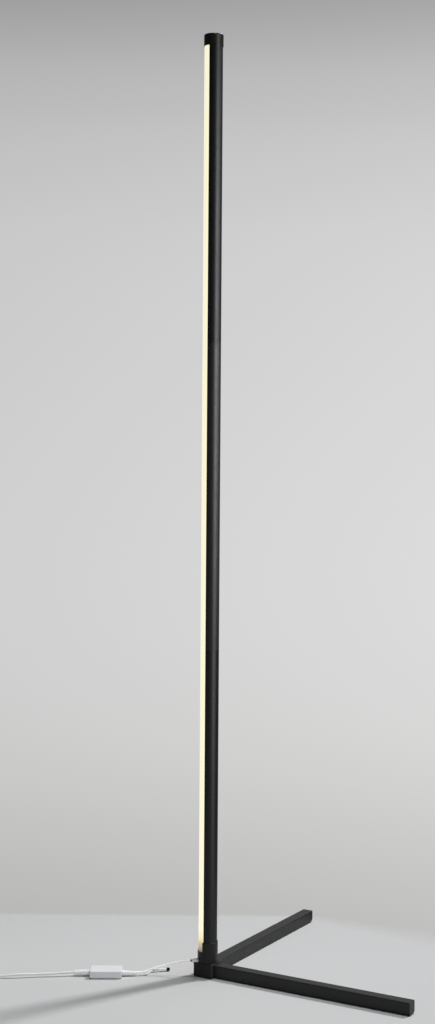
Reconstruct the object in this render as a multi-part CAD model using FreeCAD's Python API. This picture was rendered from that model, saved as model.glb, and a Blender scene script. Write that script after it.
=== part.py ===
import FreeCAD, Part
import math
import os

V = FreeCAD.Vector

# Corner lamp.  Millimetres, +Z up.
# The origin is the pole's axis on the floor.  The front leg runs along +X, the rear leg along +Y,
# and the light faces (-1, -1), away from the V of the legs.

# ---------------------------------------------------------------- driving dimensions
lamp_height = 1417.0            # floor to the top of the cap
pole_dia = 28.0                 # round extrusion, diffuser included
pole_wall = 1.6
section_length = 460.0          # three equal pole sections
pole_foot_z = 31.5              # lower end of the lowest section, inside the collar
light_angle = 225.0             # direction that the light faces
mouth_half_angle = 47.2         # half of the arc that the diffuser fills
web_u = 1.6                     # back face of the web that carries the LED strip
web_thick = 1.6
port_u = -2.2                   # screw ports of the extrusion
port_v = 10.2
port_hole_r = 1.25
diffuser_thick = 1.4
strip_width = 10.0
strip_thick = 0.4
chip_size = 5.0
chip_height = 1.5
chip_pitch = 33.3
splice_length = 100.0
cap_dia = 29.7
cap_height = 17.7
cap_edge = 1.3
collar_dia = 30.4
collar_top_z = 52.0
collar_floor = 3.5
notch_half_angle = 42.5         # window of the collar on the light side
notch_z = 37.5
foot_pad = 1.0                  # every foot pad's thickness
hub_low = -16.0                 # the hub is a little off the pole's axis
hub_high = 17.0
hub_height = 20.0
hub_corner_r = 2.5
hub_wall = 3.0
hub_top_wall = 4.0
leg_size = 18.0                 # square tube
leg_wall = 1.5
leg_corner_r = 1.8
leg_end = 333.0                 # pole axis to the outside of the leg's end cap
leg_cap_plate = 2.5
bolt_u = -5.0                   # pole bolt, behind the web
bolt_r = 2.95
outlet_half_width = 3.1         # opening for the small connector in the collar's foot
outlet_z0 = 21.2               # its socket
outlet_height = 4.3
ctrl_x0, ctrl_x1 = -176.4, -128.2      # inline controller, in the cord frame
ctrl_y0, ctrl_y1 = -23.0, 6.7
ctrl_height = 11.4
ctrl_wall = 1.3
ctrl_split = 5.7
ctrl_edge_z = 1.1               # its sides stop a little above the floor
cord_frame_angle = 30.425       # the controller stands turned by this angle about the pole's axis
lamp_lead_dia = 2.4
ir_lead_dia = 1.8
input_lead_dia = 3.6
coil_x, coil_y = -358.0, 2.0    # middle of the put-away coil, in the cord frame
coil_turn_r_in = 14.4           # centre line of the innermost turn
coil_turn_r_out = 28.8
coil_z0 = 0.5

pole_r = pole_dia / 2
pole_top_z = pole_foot_z + 3 * section_length
hub_z0 = foot_pad
hub_z1 = foot_pad + hub_height

parts = {}


# ---------------------------------------------------------------- helpers
def box(x0, y0, z0, x1, y1, z1):
    return Part.makeBox(x1 - x0, y1 - y0, z1 - z0, V(x0, y0, z0))


def cyl(r, z0, z1, x=0.0, y=0.0):
    return Part.makeCylinder(r, z1 - z0, V(x, y, z0), V(0, 0, 1))


def cyl_dir(r, p, d, length):
    return Part.makeCylinder(r, length, V(*p), V(*d))


def cone_dir(r0, r1, p, d, length):
    return Part.makeCone(r0, r1, length, V(*p), V(*d))


def round_rect_wire(x0, y0, x1, y1, r, z):
    k = r * (1 - math.sqrt(0.5))
    e = []

    def ln(a, b):
        if V(*a).distanceToPoint(V(*b)) > 1e-6:
            e.append(Part.LineSegment(V(*a), V(*b)).toShape())

    def arc(a, m, b):
        e.append(Part.Arc(V(*a), V(*m), V(*b)).toShape())

    ln((x0 + r, y0, z), (x1 - r, y0, z))
    arc((x1 - r, y0, z), (x1 - k, y0 + k, z), (x1, y0 + r, z))
    ln((x1, y0 + r, z), (x1, y1 - r, z))
    arc((x1, y1 - r, z), (x1 - k, y1 - k, z), (x1 - r, y1, z))
    ln((x1 - r, y1, z), (x0 + r, y1, z))
    arc((x0 + r, y1, z), (x0 + k, y1 - k, z), (x0, y1 - r, z))
    ln((x0, y1 - r, z), (x0, y0 + r, z))
    arc((x0, y0 + r, z), (x0 + k, y0 + k, z), (x0 + r, y0, z))
    return Part.Wire(e)


def round_prism(x0, y0, x1, y1, r, z0, z1):
    return Part.Face(round_rect_wire(x0, y0, x1, y1, r, z0)).extrude(V(0, 0, z1 - z0))


def prism_x(y0, z0, y1, z1, r, x0, x1):
    """Rounded rectangle in the YZ plane, extruded along X."""
    s = round_prism(y0, z0, y1, z1, r, 0.0, x1 - x0)
    # the local x, y, z become y, z, x
    m = FreeCAD.Matrix(0, 0, 1, x0, 1, 0, 0, 0, 0, 1, 0, 0, 0, 0, 0, 1)
    return s.transformed(m)


def to_light(shape):
    """The pole's section is drawn with u, the light's direction, along X."""
    s = shape.copy()
    s.rotate(V(0, 0, 0), V(0, 0, 1), light_angle)
    return s


def to_cord_frame(shape):
    s = shape.copy()
    s.rotate(V(0, 0, 0), V(0, 0, 1), cord_frame_angle)
    return s


def to_rear_leg(shape):
    s = shape.copy()
    s.rotate(V(0, 0, 0), V(0, 0, 1), 90.0)
    return s


def wedge(half_angle, u0, z0, z1, reach=30.0):
    """The space beyond u0 within half_angle of the light's direction."""
    t = math.tan(math.radians(half_angle))
    pts = [(u0, u0 * t), (reach, reach * t), (reach, -reach * t), (u0, -u0 * t)]
    w = Part.makePolygon([V(p[0], p[1], z0) for p in pts] + [V(pts[0][0], pts[0][1], z0)])
    return Part.Face(w).extrude(V(0, 0, z1 - z0))


def sector_ring(r0, r1, a0, a1, z0, z1):
    """Part of a ring between two angles (degrees, from the light's direction)."""
    def p(r, a):
        a = math.radians(a)
        return V(r * math.cos(a), r * math.sin(a), z0)
    am = (a0 + a1) / 2
    e = [Part.Arc(p(r1, a0), p(r1, am), p(r1, a1)).toShape(),
         Part.LineSegment(p(r1, a1), p(r0, a1)).toShape(),
         Part.Arc(p(r0, a1), p(r0, am), p(r0, a0)).toShape(),
         Part.LineSegment(p(r0, a0), p(r1, a0)).toShape()]
    return Part.Face(Part.Wire(e)).extrude(V(0, 0, z1 - z0))


def fillet_where(shape, r, test):
    edges = [e for e in shape.Edges if test(e)]
    return shape.makeFillet(r, edges)


def at_z(z, tol=1e-3):
    return lambda e: abs(e.BoundBox.ZMin - z) < tol and abs(e.BoundBox.ZMax - z) < tol


def add(name, shape):
    if shape.ShapeType == "Compound" and len(shape.Solids) == 1:
        shape = shape.Solids[0]
    parts[name] = shape


def biggest(shape):
    return sorted(shape.Solids, key=lambda q: -q.Volume)[0]


def group(shapes):
    out = []
    for s in shapes:
        out.extend(s.Solids)
    return Part.makeCompound(out)


def tube(name, pts, dia):
    """Straight runs joined by tangent arcs.  Prints the radii and checks the volume."""
    P = [V(*p) for p in pts]
    edges = []
    radii = []
    cur = P[0]
    length = 0.0
    for i in range(1, len(P) - 1):
        a, b, c = P[i - 1], P[i], P[i + 1]
        d1 = b - a
        d2 = c - b
        l1, l2 = d1.Length, d2.Length
        d1.normalize()
        d2.normalize()
        turn = math.acos(max(-1.0, min(1.0, d1.dot(d2))))
        t = 0.45 * min(l1, l2)
        r = t / math.tan(turn / 2)
        radii.append(round(r, 1))
        s = b - d1 * t
        e = b + d2 * t
        # the middle of the arc lies on the bisector
        bis = (d2 - d1)
        bis.normalize()
        cen = b + bis * (r / math.cos(turn / 2))
        mid = cen - bis * r
        edges.append(Part.LineSegment(cur, s).toShape())
        edges.append(Part.Arc(s, mid, e).toShape())
        length += cur.distanceToPoint(s) + r * turn
        cur = e
    edges.append(Part.LineSegment(cur, P[-1]).toShape())
    length += cur.distanceToPoint(P[-1])
    path = Part.Wire(edges)
    d = P[1] - P[0]
    circle = Part.Wire(Part.makeCircle(dia / 2, P[0], d))
    solid = path.makePipeShell([circle], True, False)
    if not isinstance(solid, Part.Solid):
        solid = solid.Solids[0]
    want = math.pi * dia * dia / 4 * length
    print("%s: length %.1f mm, radii %s (%.1f diameters at least), volume %.1f of %.1f, lowest z %.2f" % (
        name, length, radii, min(radii) / dia, solid.Volume, want, solid.BoundBox.ZMin))
    return solid


# ---------------------------------------------------------------- pole sections
def extrusion(z0, z1):
    s = cyl(pole_r, z0, z1).cut(cyl(pole_r - pole_wall, z0, z1))
    web = box(web_u, -13, z0, web_u + web_thick, 13, z1).common(cyl(pole_r - 1.0, z0, z1))
    s = s.fuse(web)
    for sv in (1, -1):
        boss = cyl(2.6, z0, z1, port_u, sv * port_v).common(cyl(pole_r - 0.6, z0, z1))
        s = s.fuse(boss)
    s = s.cut(wedge(mouth_half_angle, web_u + web_thick, z0, z1))
    for sv in (1, -1):
        s = s.cut(cyl(port_hole_r, z0, z1, port_u, sv * port_v))
    return s.removeSplitter()


def core_block(z0, z1, clearance=0.15):
    """Solid that fits the D-shaped core behind the web."""
    s = cyl(pole_r - pole_wall - clearance, z0, z1).cut(box(web_u - clearance, -20, z0, 20, 20, z1))
    for sv in (1, -1):
        s = s.cut(cyl(2.6 + clearance, z0, z1, port_u, sv * port_v))
        # the thin horn outside each screw port goes with it
        s = s.cut(box(port_u - 2.0, sv * port_v - (0 if sv > 0 else 4), z0, 4, sv * port_v + (4 if sv > 0 else 0), z1))
    solids = sorted(s.Solids, key=lambda q: -q.Volume)
    return solids[0]


seams = [pole_foot_z, pole_foot_z + section_length, pole_foot_z + 2 * section_length, pole_top_z]
sections = []
for i in range(3):
    sections.append(extrusion(seams[i], seams[i + 1]))

# set screws: two for each splice and one for the foot plug, all in the back of the pole
set_screw_z = [seams[1] - 22, seams[1] + 22, seams[2] - 22, seams[2] + 22, 62.0]
screws = []
for z in set_screw_z:
    hole = cyl_dir(2.05, (-15.0, 0, z), (1, 0, 0), 6.0)
    for i in range(3):
        if seams[i] < z < seams[i + 1]:
            sections[i] = sections[i].cut(hole)
    g = cyl_dir(2.0, (-13.6, 0, z), (1, 0, 0), 4.4)
    hexa = Part.makePolygon([V(-13.6, 1.0 * math.cos(math.radians(60 * k)), z + 1.0 * math.sin(math.radians(60 * k))) for k in range(7)])
    g = g.cut(Part.Face(hexa).extrude(V(2.0, 0, 0)))
    screws.append(g)
add("lower_pole_section", to_light(sections[0]))
add("middle_pole_section", to_light(sections[1]))
add("upper_pole_section", to_light(sections[2]))
add("pole_set_screws", to_light(group(screws)))

for name, zj in (("lower_splice", seams[1]), ("upper_splice", seams[2])):
    s = core_block(zj - splice_length / 2, zj + splice_length / 2)
    s = s.cut(cyl(3.6, zj - splice_length / 2, zj + splice_length / 2, -4.6, 0.0))
    for dz in (-22, 22):
        s = s.cut(cyl_dir(2.05, (-15.0, 0, zj + dz), (1, 0, 0), 8.0))
    add(name, to_light(s))

# ---------------------------------------------------------------- diffuser: arc, two bridges and two snap legs
zd0, zd1 = pole_foot_z, pole_top_z
a = mouth_half_angle - 0.25
r_in = pole_r - diffuser_thick
d = sector_ring(r_in, pole_r - 0.03, -a, a, zd0, zd1)
for sgn in (1, -1):
    a0, a1 = sorted((sgn * (a - 5.0), sgn * a))
    d = d.fuse(sector_ring(11.2, r_in + 0.01, a0, a1, zd0, zd1))
    a0, a1 = sorted((sgn * (a - 5.0), sgn * 57.0))
    d = d.fuse(sector_ring(11.2, pole_r - pole_wall - 0.06, a0, a1, zd0, zd1))
add("diffuser", to_light(d.removeSplitter()))

# ---------------------------------------------------------------- LED strip
u_face = web_u + web_thick
strip_z0, strip_z1 = 47.0, 1404.0
add("led_strip_board", to_light(box(u_face, -strip_width / 2, strip_z0, u_face + strip_thick, strip_width / 2, strip_z1)))
chips = []
n_chips = int((strip_z1 - strip_z0 - 20.0) / chip_pitch) + 1
for i in range(n_chips):
    z = strip_z0 + 14.0 + i * chip_pitch
    u0 = u_face + strip_thick
    chips.append(box(u0, -chip_size / 2, z - chip_size / 2, u0 + chip_height, chip_size / 2, z + chip_size / 2))
add("led_chips", to_light(group(chips)))

# ---------------------------------------------------------------- top cap
cap_z0 = lamp_height - cap_height
prof = [(0, pole_top_z), (pole_r + 0.1, pole_top_z), (pole_r + 0.1, cap_z0), (cap_dia / 2, cap_z0),
        (cap_dia / 2, lamp_height - cap_edge)]
e = [Part.LineSegment(V(p[0], 0, p[1]), V(q[0], 0, q[1])).toShape() for p, q in zip(prof[:-1], prof[1:])]
k = cap_edge * (1 - math.sqrt(0.5))
e.append(Part.Arc(V(cap_dia / 2, 0, lamp_height - cap_edge), V(cap_dia / 2 - k, 0, lamp_height - k), V(cap_dia / 2 - cap_edge, 0, lamp_height)).toShape())
e.append(Part.LineSegment(V(cap_dia / 2 - cap_edge, 0, lamp_height), V(0, 0, lamp_height)).toShape())
e.append(Part.LineSegment(V(0, 0, lamp_height), V(0, 0, pole_top_z)).toShape())
cap = Part.Face(Part.Wire(e)).revolve(V(0, 0, 0), V(0, 0, 1), 360)
if not isinstance(cap, Part.Solid):
    cap = cap.Solids[0]
spigot = core_block(pole_top_z - 15.0, pole_top_z + 0.5)
spigot = spigot.cut(cyl(4.0, pole_top_z - 16.0, pole_top_z + 1.0, -4.6, 0.0))
cap = cap.fuse(spigot)
cap_screws = []
for sv in (1, -1):
    cap = cap.cut(cyl(1.7, pole_top_z - 1, lamp_height + 1, port_u, sv * port_v))
    cap = cap.cut(cone_dir(1.7, 3.0, (port_u, sv * port_v, lamp_height - 1.7), (0, 0, 1), 1.7))
    s = cone_dir(1.5, 2.75, (port_u, sv * port_v, lamp_height - 1.75), (0, 0, 1), 1.5)
    s = s.fuse(cyl(1.2, pole_top_z - 9.0, lamp_height - 1.7, port_u, sv * port_v))
    cross = box(port_u - 1.5, sv * port_v - 0.3, lamp_height - 1.05, port_u + 1.5, sv * port_v + 0.3, lamp_height)
    cross = cross.fuse(box(port_u - 0.3, sv * port_v - 1.5, lamp_height - 1.05, port_u + 0.3, sv * port_v + 1.5, lamp_height))
    cap_screws.append(s.cut(cross))
add("top_cap", to_light(cap.removeSplitter()))
add("top_cap_screws", to_light(group(cap_screws)))

# ---------------------------------------------------------------- collar on the hub
co = cyl(collar_dia / 2, hub_z1, collar_top_z)
co = co.cut(cyl(pole_r + 0.15, hub_z1 + collar_floor, collar_top_z + 1))
co = co.cut(wedge(notch_half_angle, 6.0, notch_z, collar_top_z + 1))
co = co.cut(box(3.9, -outlet_half_width, hub_z1 - 1, 20, outlet_half_width, hub_z1 + 5.0))
co = co.cut(cyl(bolt_r + 0.25, hub_z1 - 1, hub_z1 + collar_floor + 1, bolt_u, 0))
co = fillet_where(co, 0.5, lambda e: at_z(collar_top_z)(e) and e.Length > 20 and
                  max(math.hypot(v.Point.x, v.Point.y) for v in e.Vertexes) > pole_r + 0.5)
add("base_collar", to_light(co))

# ---------------------------------------------------------------- foot plug of the pole, bolt and washer
fp = cyl(pole_r - 0.05, hub_z1 + collar_floor, pole_foot_z)
fp = fp.cut(box(3.9, -outlet_half_width, 0, 20, outlet_half_width, pole_foot_z + 1))
sp = core_block(pole_foot_z - 1.0, pole_foot_z + 42.0)
fp = fp.fuse(sp)
fp = fp.cut(cyl(bolt_r + 0.05, hub_z1 + collar_floor - 1, pole_foot_z + 26.0, bolt_u, 0))
fp = fp.cut(cyl_dir(2.05, (-15.0, 0, 62.0), (1, 0, 0), 7.0))
add("pole_foot_plug", to_light(fp.removeSplitter()))
bolt_head_z = hub_z1 - hub_top_wall - 1.2
pb = cyl(5.0, bolt_head_z - 6.0, bolt_head_z, bolt_u, 0).fuse(cyl(bolt_r, bolt_head_z, pole_foot_z + 24.0, bolt_u, 0))
hexa = Part.makePolygon([V(bolt_u + 2.9 * math.cos(math.radians(60 * q)), 2.9 * math.sin(math.radians(60 * q)), bolt_head_z - 6.0) for q in range(7)])
pb = pb.cut(Part.Face(hexa).extrude(V(0, 0, 3.2)))
add("pole_bolt", to_light(pb.removeSplitter()))
add("pole_bolt_washer", to_light(cyl(6.0, bolt_head_z, bolt_head_z + 1.2, bolt_u, 0).cut(cyl(3.15, bolt_head_z, bolt_head_z + 1.2, bolt_u, 0))))

# ---------------------------------------------------------------- hub
hub = round_prism(hub_low, hub_low, hub_high, hub_high, hub_corner_r, hub_z0, hub_z1)
hub = fillet_where(hub, 0.8, at_z(hub_z1))
hub = fillet_where(hub, 0.4, at_z(hub_z0))
c0, c1 = hub_low + hub_wall, hub_high - hub_wall
hub = hub.cut(round_prism(c0, c0, c1, c1, 1.0, hub_z0 - 1, hub_z1 - hub_top_wall))
cover_screw_xy = [(c0 + 2.5, c0 + 2.5), (c1 - 2.5, c1 - 2.5)]
cover_z1 = hub_z0 + 2.0
for x, y in cover_screw_xy:
    boss = cyl(2.9, cover_z1, hub_z1 - hub_top_wall + 0.5, x, y).common(
        box(hub_low + 1, hub_low + 1, 0, hub_high - 1, hub_high - 1, hub_z1))
    hub = hub.fuse(boss)
for x, y in cover_screw_xy:
    hub = hub.cut(cyl(1.15, cover_z1 - 0.5, cover_z1 + 9.0, x, y))
bx = bolt_u * math.cos(math.radians(light_angle))
by = bolt_u * math.sin(math.radians(light_angle))
hub = hub.cut(cyl(bolt_r + 0.35, hub_z1 - hub_top_wall - 1, hub_z1 + 1, bx, by))
leg_z0 = foot_pad
leg_zc = leg_z0 + leg_size / 2
for y in (-4.5, 4.5):
    h = cyl_dir(2.15, (c1 - 0.5, y, leg_zc), (1, 0, 0), hub_wall + 1.0)
    hub = hub.cut(h)
    hub = hub.cut(to_rear_leg(h))
add("hub_block", hub.removeSplitter())

cover = round_prism(c0 + 0.15, c0 + 0.15, c1 - 0.15, c1 - 0.15, 0.9, hub_z0, cover_z1)
cover_screws = []
for x, y in cover_screw_xy:
    cover = cover.cut(cyl(1.3, hub_z0 - 1, cover_z1 + 1, x, y))
    cover = cover.cut(cone_dir(2.25, 1.3, (x, y, hub_z0), (0, 0, 1), 1.3))
    s = cone_dir(2.1, 1.15, (x, y, hub_z0 + 0.1), (0, 0, 1), 1.2).fuse(cyl(1.1, hub_z0 + 1.3, cover_z1 + 8.0, x, y))
    cross = box(x - 1.2, y - 0.25, hub_z0, x + 1.2, y + 0.25, hub_z0 + 0.8).fuse(
        box(x - 0.25, y - 1.2, hub_z0, x + 0.25, y + 1.2, hub_z0 + 0.8))
    cover_screws.append(s.cut(cross))
add("hub_bottom_cover", cover)
add("hub_cover_screws", group(cover_screws))
pad = round_prism(hub_low + 1.2, hub_low + 1.2, hub_high - 1.2, hub_high - 1.2, 2.0, 0.0, foot_pad)
add("hub_foot_pad", fillet_where(pad, 0.3, at_z(0.0)))

# ---------------------------------------------------------------- legs
half = leg_size / 2
inner = half - leg_wall
tube_x0, tube_x1 = hub_high, leg_end - leg_cap_plate
leg = prism_x(-half, leg_z0, half, leg_z0 + leg_size, leg_corner_r, tube_x0, tube_x1)
leg = leg.cut(prism_x(-inner, leg_z0 + leg_wall, inner, leg_z0 + leg_size - leg_wall, 0.5, tube_x0 - 1, tube_x1 + 1))
lock_x = [tube_x0 + 12.0, tube_x0 + 24.0]
for x in lock_x:
    leg = leg.cut(cyl(1.6, leg_z0 - 1, leg_z0 + leg_wall + 0.5, x, 0))
ins_half = inner - 0.1
insert = prism_x(-ins_half, leg_zc - ins_half, ins_half, leg_zc + ins_half, 0.5, tube_x0, tube_x0 + 30.0)
for y in (-4.5, 4.5):
    insert = insert.cut(cyl_dir(2.05, (tube_x0 - 1, y, leg_zc), (1, 0, 0), 22.0))
for x in lock_x:
    insert = insert.cut(cyl(1.55, leg_z0, leg_zc - 0.5, x, 0))
leg_screws, lock_screws = [], []
for y in (-4.5, 4.5):
    s = cyl_dir(3.4, (c1 - 4.0, y, leg_zc), (1, 0, 0), 4.0).fuse(cyl_dir(2.0, (c1 - 0.1, y, leg_zc), (1, 0, 0), 20.0))
    hx = Part.makePolygon([V(c1 - 4.0, y + 1.7 * math.cos(math.radians(60 * q)), leg_zc + 1.7 * math.sin(math.radians(60 * q))) for q in range(7)])
    leg_screws.append(s.cut(Part.Face(hx).extrude(V(2.2, 0, 0))))
for x in lock_x:
    s = cyl(1.5, leg_z0 + 0.3, leg_z0 + 6.5, x, 0)
    hx = Part.makePolygon([V(x + 0.8 * math.cos(math.radians(60 * q)), 0.8 * math.sin(math.radians(60 * q)), leg_z0 + 0.3) for q in range(7)])
    lock_screws.append(s.cut(Part.Face(hx).extrude(V(0, 0, 1.5))))

# end cap: a plate with rounded lower corners, and a hollow spigot in the tube
kk = 1 - math.sqrt(0.5)


def cap_outline(x):
    y0, y1, z0, z1 = -half, half, leg_z0, leg_z0 + leg_size
    rt, rb = leg_corner_r, 4.0
    p = []
    p.append(Part.LineSegment(V(x, y0 + rb, z0), V(x, y1 - rb, z0)).toShape())
    p.append(Part.Arc(V(x, y1 - rb, z0), V(x, y1 - rb * kk, z0 + rb * kk), V(x, y1, z0 + rb)).toShape())
    p.append(Part.LineSegment(V(x, y1, z0 + rb), V(x, y1, z1 - rt)).toShape())
    p.append(Part.Arc(V(x, y1, z1 - rt), V(x, y1 - rt * kk, z1 - rt * kk), V(x, y1 - rt, z1)).toShape())
    p.append(Part.LineSegment(V(x, y1 - rt, z1), V(x, y0 + rt, z1)).toShape())
    p.append(Part.Arc(V(x, y0 + rt, z1), V(x, y0 + rt * kk, z1 - rt * kk), V(x, y0, z1 - rt)).toShape())
    p.append(Part.LineSegment(V(x, y0, z1 - rt), V(x, y0, z0 + rb)).toShape())
    p.append(Part.Arc(V(x, y0, z0 + rb), V(x, y0 + rb * kk, z0 + rb * kk), V(x, y0 + rb, z0)).toShape())
    return Part.Wire(p)


endcap = Part.Face(cap_outline(tube_x1)).extrude(V(leg_cap_plate, 0, 0))
endcap = fillet_where(endcap, 0.6, lambda e: abs(e.BoundBox.XMin - leg_end) < 1e-3 and abs(e.BoundBox.XMax - leg_end) < 1e-3)
plug = prism_x(-ins_half, leg_zc - ins_half, ins_half, leg_zc + ins_half, 0.5, tube_x1 - 12.0, tube_x1)
plug = plug.cut(prism_x(-ins_half + 1.6, leg_zc - ins_half + 1.6, ins_half - 1.6, leg_zc + ins_half - 1.6, 0.5, tube_x1 - 13.0, tube_x1 - 0.01))
endcap = endcap.fuse(plug).removeSplitter()

pads = []
for x in (tube_x0 + 132.0, tube_x1 - 26.0):
    p = round_prism(x, -6.5, x + 22.0, 6.5, 1.5, 0.0, foot_pad)
    pads.append(fillet_where(p, 0.3, at_z(0.0)))

add("front_leg_tube", leg)
add("rear_leg_tube", to_rear_leg(leg))
add("front_leg_insert", insert)
add("rear_leg_insert", to_rear_leg(insert))
add("leg_screws", group(leg_screws + [to_rear_leg(s) for s in leg_screws]))
add("leg_lock_screws", group(lock_screws + [to_rear_leg(s) for s in lock_screws]))
add("front_leg_end_cap", endcap)
add("rear_leg_end_cap", to_rear_leg(endcap))
add("leg_foot_pads", group(pads + [to_rear_leg(s) for s in pads]))

# ---------------------------------------------------------------- outlet: fixed socket, loose plug half and its boot
oz0 = outlet_z0
oz1 = oz0 + outlet_height
zc = (oz0 + oz1) / 2
sock = box(7.5, -2.9, oz0, 20.0, 2.9, oz1)
sock = fillet_where(sock, 0.4, lambda e: abs(e.BoundBox.XMax - e.BoundBox.XMin) > 5)
sock = sock.cut(box(13.0, -2.2, oz0 + 0.65, 21.0, 2.2, oz1 - 0.65))
for v in (-1.5, -0.5, 0.5, 1.5):
    sock = sock.fuse(box(12.9, v - 0.16, zc - 0.16, 18.5, v + 0.16, zc + 0.16))
add("outlet_socket", to_light(sock.removeSplitter()))
plg = box(13.1, -2.15, oz0 + 0.7, 20.0, 2.15, oz1 - 0.7)
head = box(20.0, -2.6, oz0 + 0.15, 24.8, 2.6, oz1 - 0.15)
head = fillet_where(head, 0.45, lambda e: abs(e.BoundBox.XMax - e.BoundBox.XMin) > 2)
plg = plg.fuse(head)
for v in (-1.5, -0.5, 0.5, 1.5):
    plg = plg.cut(box(13.0, v - 0.2, zc - 0.2, 18.6, v + 0.2, zc + 0.2))
add("lamp_lead_plug", to_light(plg.removeSplitter()))
add("lamp_lead_boot", to_light(cone_dir(1.4, 1.3, (24.8, 0, zc), (1, 0, 0), 2.1)))

# four thin wires from the strip's lower end to the socket
wires = []
for i, v in enumerate((-2.1, -0.7, 0.7, 2.1)):
    pts = [(u_face + 0.9, v, strip_z0 + 1.5), (u_face + 1.0, v, 37.0), (5.0, v, 30.5), (5.35, v, 26.2), (7.5, v, zc)]
    wires.append(biggest(tube("wire %d" % i, pts, 0.9).cut(sock)))
add("strip_wires", to_light(group(wires)))

# ---------------------------------------------------------------- inline controller
cx0, cx1, cy0, cy1 = ctrl_x0, ctrl_x1, ctrl_y0, ctrl_y1
w = ctrl_wall
cy_axis = -8.0                       # the leads leave along this line
lower = round_prism(cx0, cy0, cx1, cy1, 2.2, ctrl_edge_z, ctrl_split)
lower = fillet_where(lower, 0.6, at_z(ctrl_edge_z))
lower = lower.fuse(round_prism(cx0 + 1.8, cy0 + 1.8, cx1 - 1.8, cy1 - 1.8, 1.2, 0.0, ctrl_edge_z + 0.4))
lower = lower.cut(round_prism(cx0 + w, cy0 + w, cx1 - w, cy1 - w, 1.2, ctrl_edge_z + w - 0.1, ctrl_split + 1))
upper = round_prism(cx0, cy0, cx1, cy1, 2.2, ctrl_split, ctrl_height)
upper = fillet_where(upper, 1.5, at_z(ctrl_height))
upper = upper.cut(round_prism(cx0 + w, cy0 + w, cx1 - w, cy1 - w, 1.2, ctrl_split - 1, ctrl_height - w))
# inner lip of the upper shell
lip = round_prism(cx0 + w + 0.1, cy0 + w + 0.1, cx1 - w - 0.1, cy1 - w - 0.1, 1.1, ctrl_split - 1.2, ctrl_split + 0.8)
lip = lip.cut(round_prism(cx0 + w + 1.0, cy0 + w + 1.0, cx1 - w - 1.0, cy1 - w - 1.0, 0.8, ctrl_split - 2, ctrl_split + 2))
rim = round_prism(cx0 + w - 0.3, cy0 + w - 0.3, cx1 - w + 0.3, cy1 - w + 0.3, 1.3, ctrl_split, ctrl_split + 0.8)
rim = rim.cut(round_prism(cx0 + w + 1.0, cy0 + w + 1.0, cx1 - w - 1.0, cy1 - w - 1.0, 0.8, ctrl_split - 2, ctrl_split + 2))
upper = upper.fuse(lip).fuse(rim)
# standoffs for the board
for x in (cx0 + 6.0, cx1 - 6.0):
    for y in (cy0 + 5.0, cy1 - 5.0):
        lower = lower.fuse(cyl(1.6, w, 2.6, x, y))
# openings for the strain reliefs
in_z, out_z = 5.2, 4.9
in_neck = cyl_dir(2.6, (cx0 - 1, cy_axis, in_z), (1, 0, 0), w + 2.0)
out_neck = box(cx1 - w - 1.0, cy_axis - 3.4, out_z - 2.7, cx1 + 1.0, cy_axis + 3.4, out_z + 2.7)
for q in (in_neck, out_neck):
    upper = upper.cut(q)
    lower = lower.cut(q)
upper = upper.cut(box(cx0 + w - 0.05, cy_axis - 4.2, 0, cx0 + w + 1.8, cy_axis + 4.2, in_z + 3.5))
upper = upper.cut(box(cx1 - w - 1.8, cy_axis - 4.7, 0, cx1 - w + 0.05, cy_axis + 4.7, out_z + 3.7))
add("controller_lower_shell", to_cord_frame(lower.removeSplitter()))
add("controller_upper_shell", to_cord_frame(upper.removeSplitter()))

# input relief: a flange inside, a neck in the wall and a tapered ringed tail outside
relief_in_tip = -200.5
ri = cyl_dir(2.85, (cx0 + w + 0.05, cy_axis, in_z), (1, 0, 0), 1.6)
ri = ri.fuse(cyl_dir(2.5, (cx0 - 0.2, cy_axis, in_z), (1, 0, 0), w + 0.4))
ri = ri.fuse(cone_dir(4.6, 3.3, (cx0, cy_axis, in_z), (-1, 0, 0), cx0 - relief_in_tip))
for i in range(4):
    x = cx0 - 4.2 - 4.6 * i
    core_r = 4.6 + (3.3 - 4.6) * (cx0 - x + 0.6) / (cx0 - relief_in_tip) - 0.6
    ring = cyl_dir(6.0, (x - 1.2, cy_axis, in_z), (1, 0, 0), 1.2).cut(cyl_dir(core_r, (x - 1.3, cy_axis, in_z), (1, 0, 0), 1.4))
    ri = ri.cut(ring)
add("input_strain_relief", to_cord_frame(ri.removeSplitter()))

# output relief: flat, two leads leave its tip one above the other
relief_out_tip = -107.2
lamp_exit = (relief_out_tip, -5.2, 5.0)
ir_exit = (relief_out_tip, -7.2, 2.5)
relief_out_shift = 1.8               # its tip lies a little to one side


def yz_round_rect(x, yc, zcc, wy, wz, r):
    wr = round_rect_wire(yc - wy / 2, zcc - wz / 2, yc + wy / 2, zcc + wz / 2, r, 0.0)
    m = FreeCAD.Matrix(0, 0, 1, x, 1, 0, 0, 0, 0, 1, 0, 0, 0, 0, 0, 1)
    return wr.transformed(m)


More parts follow.
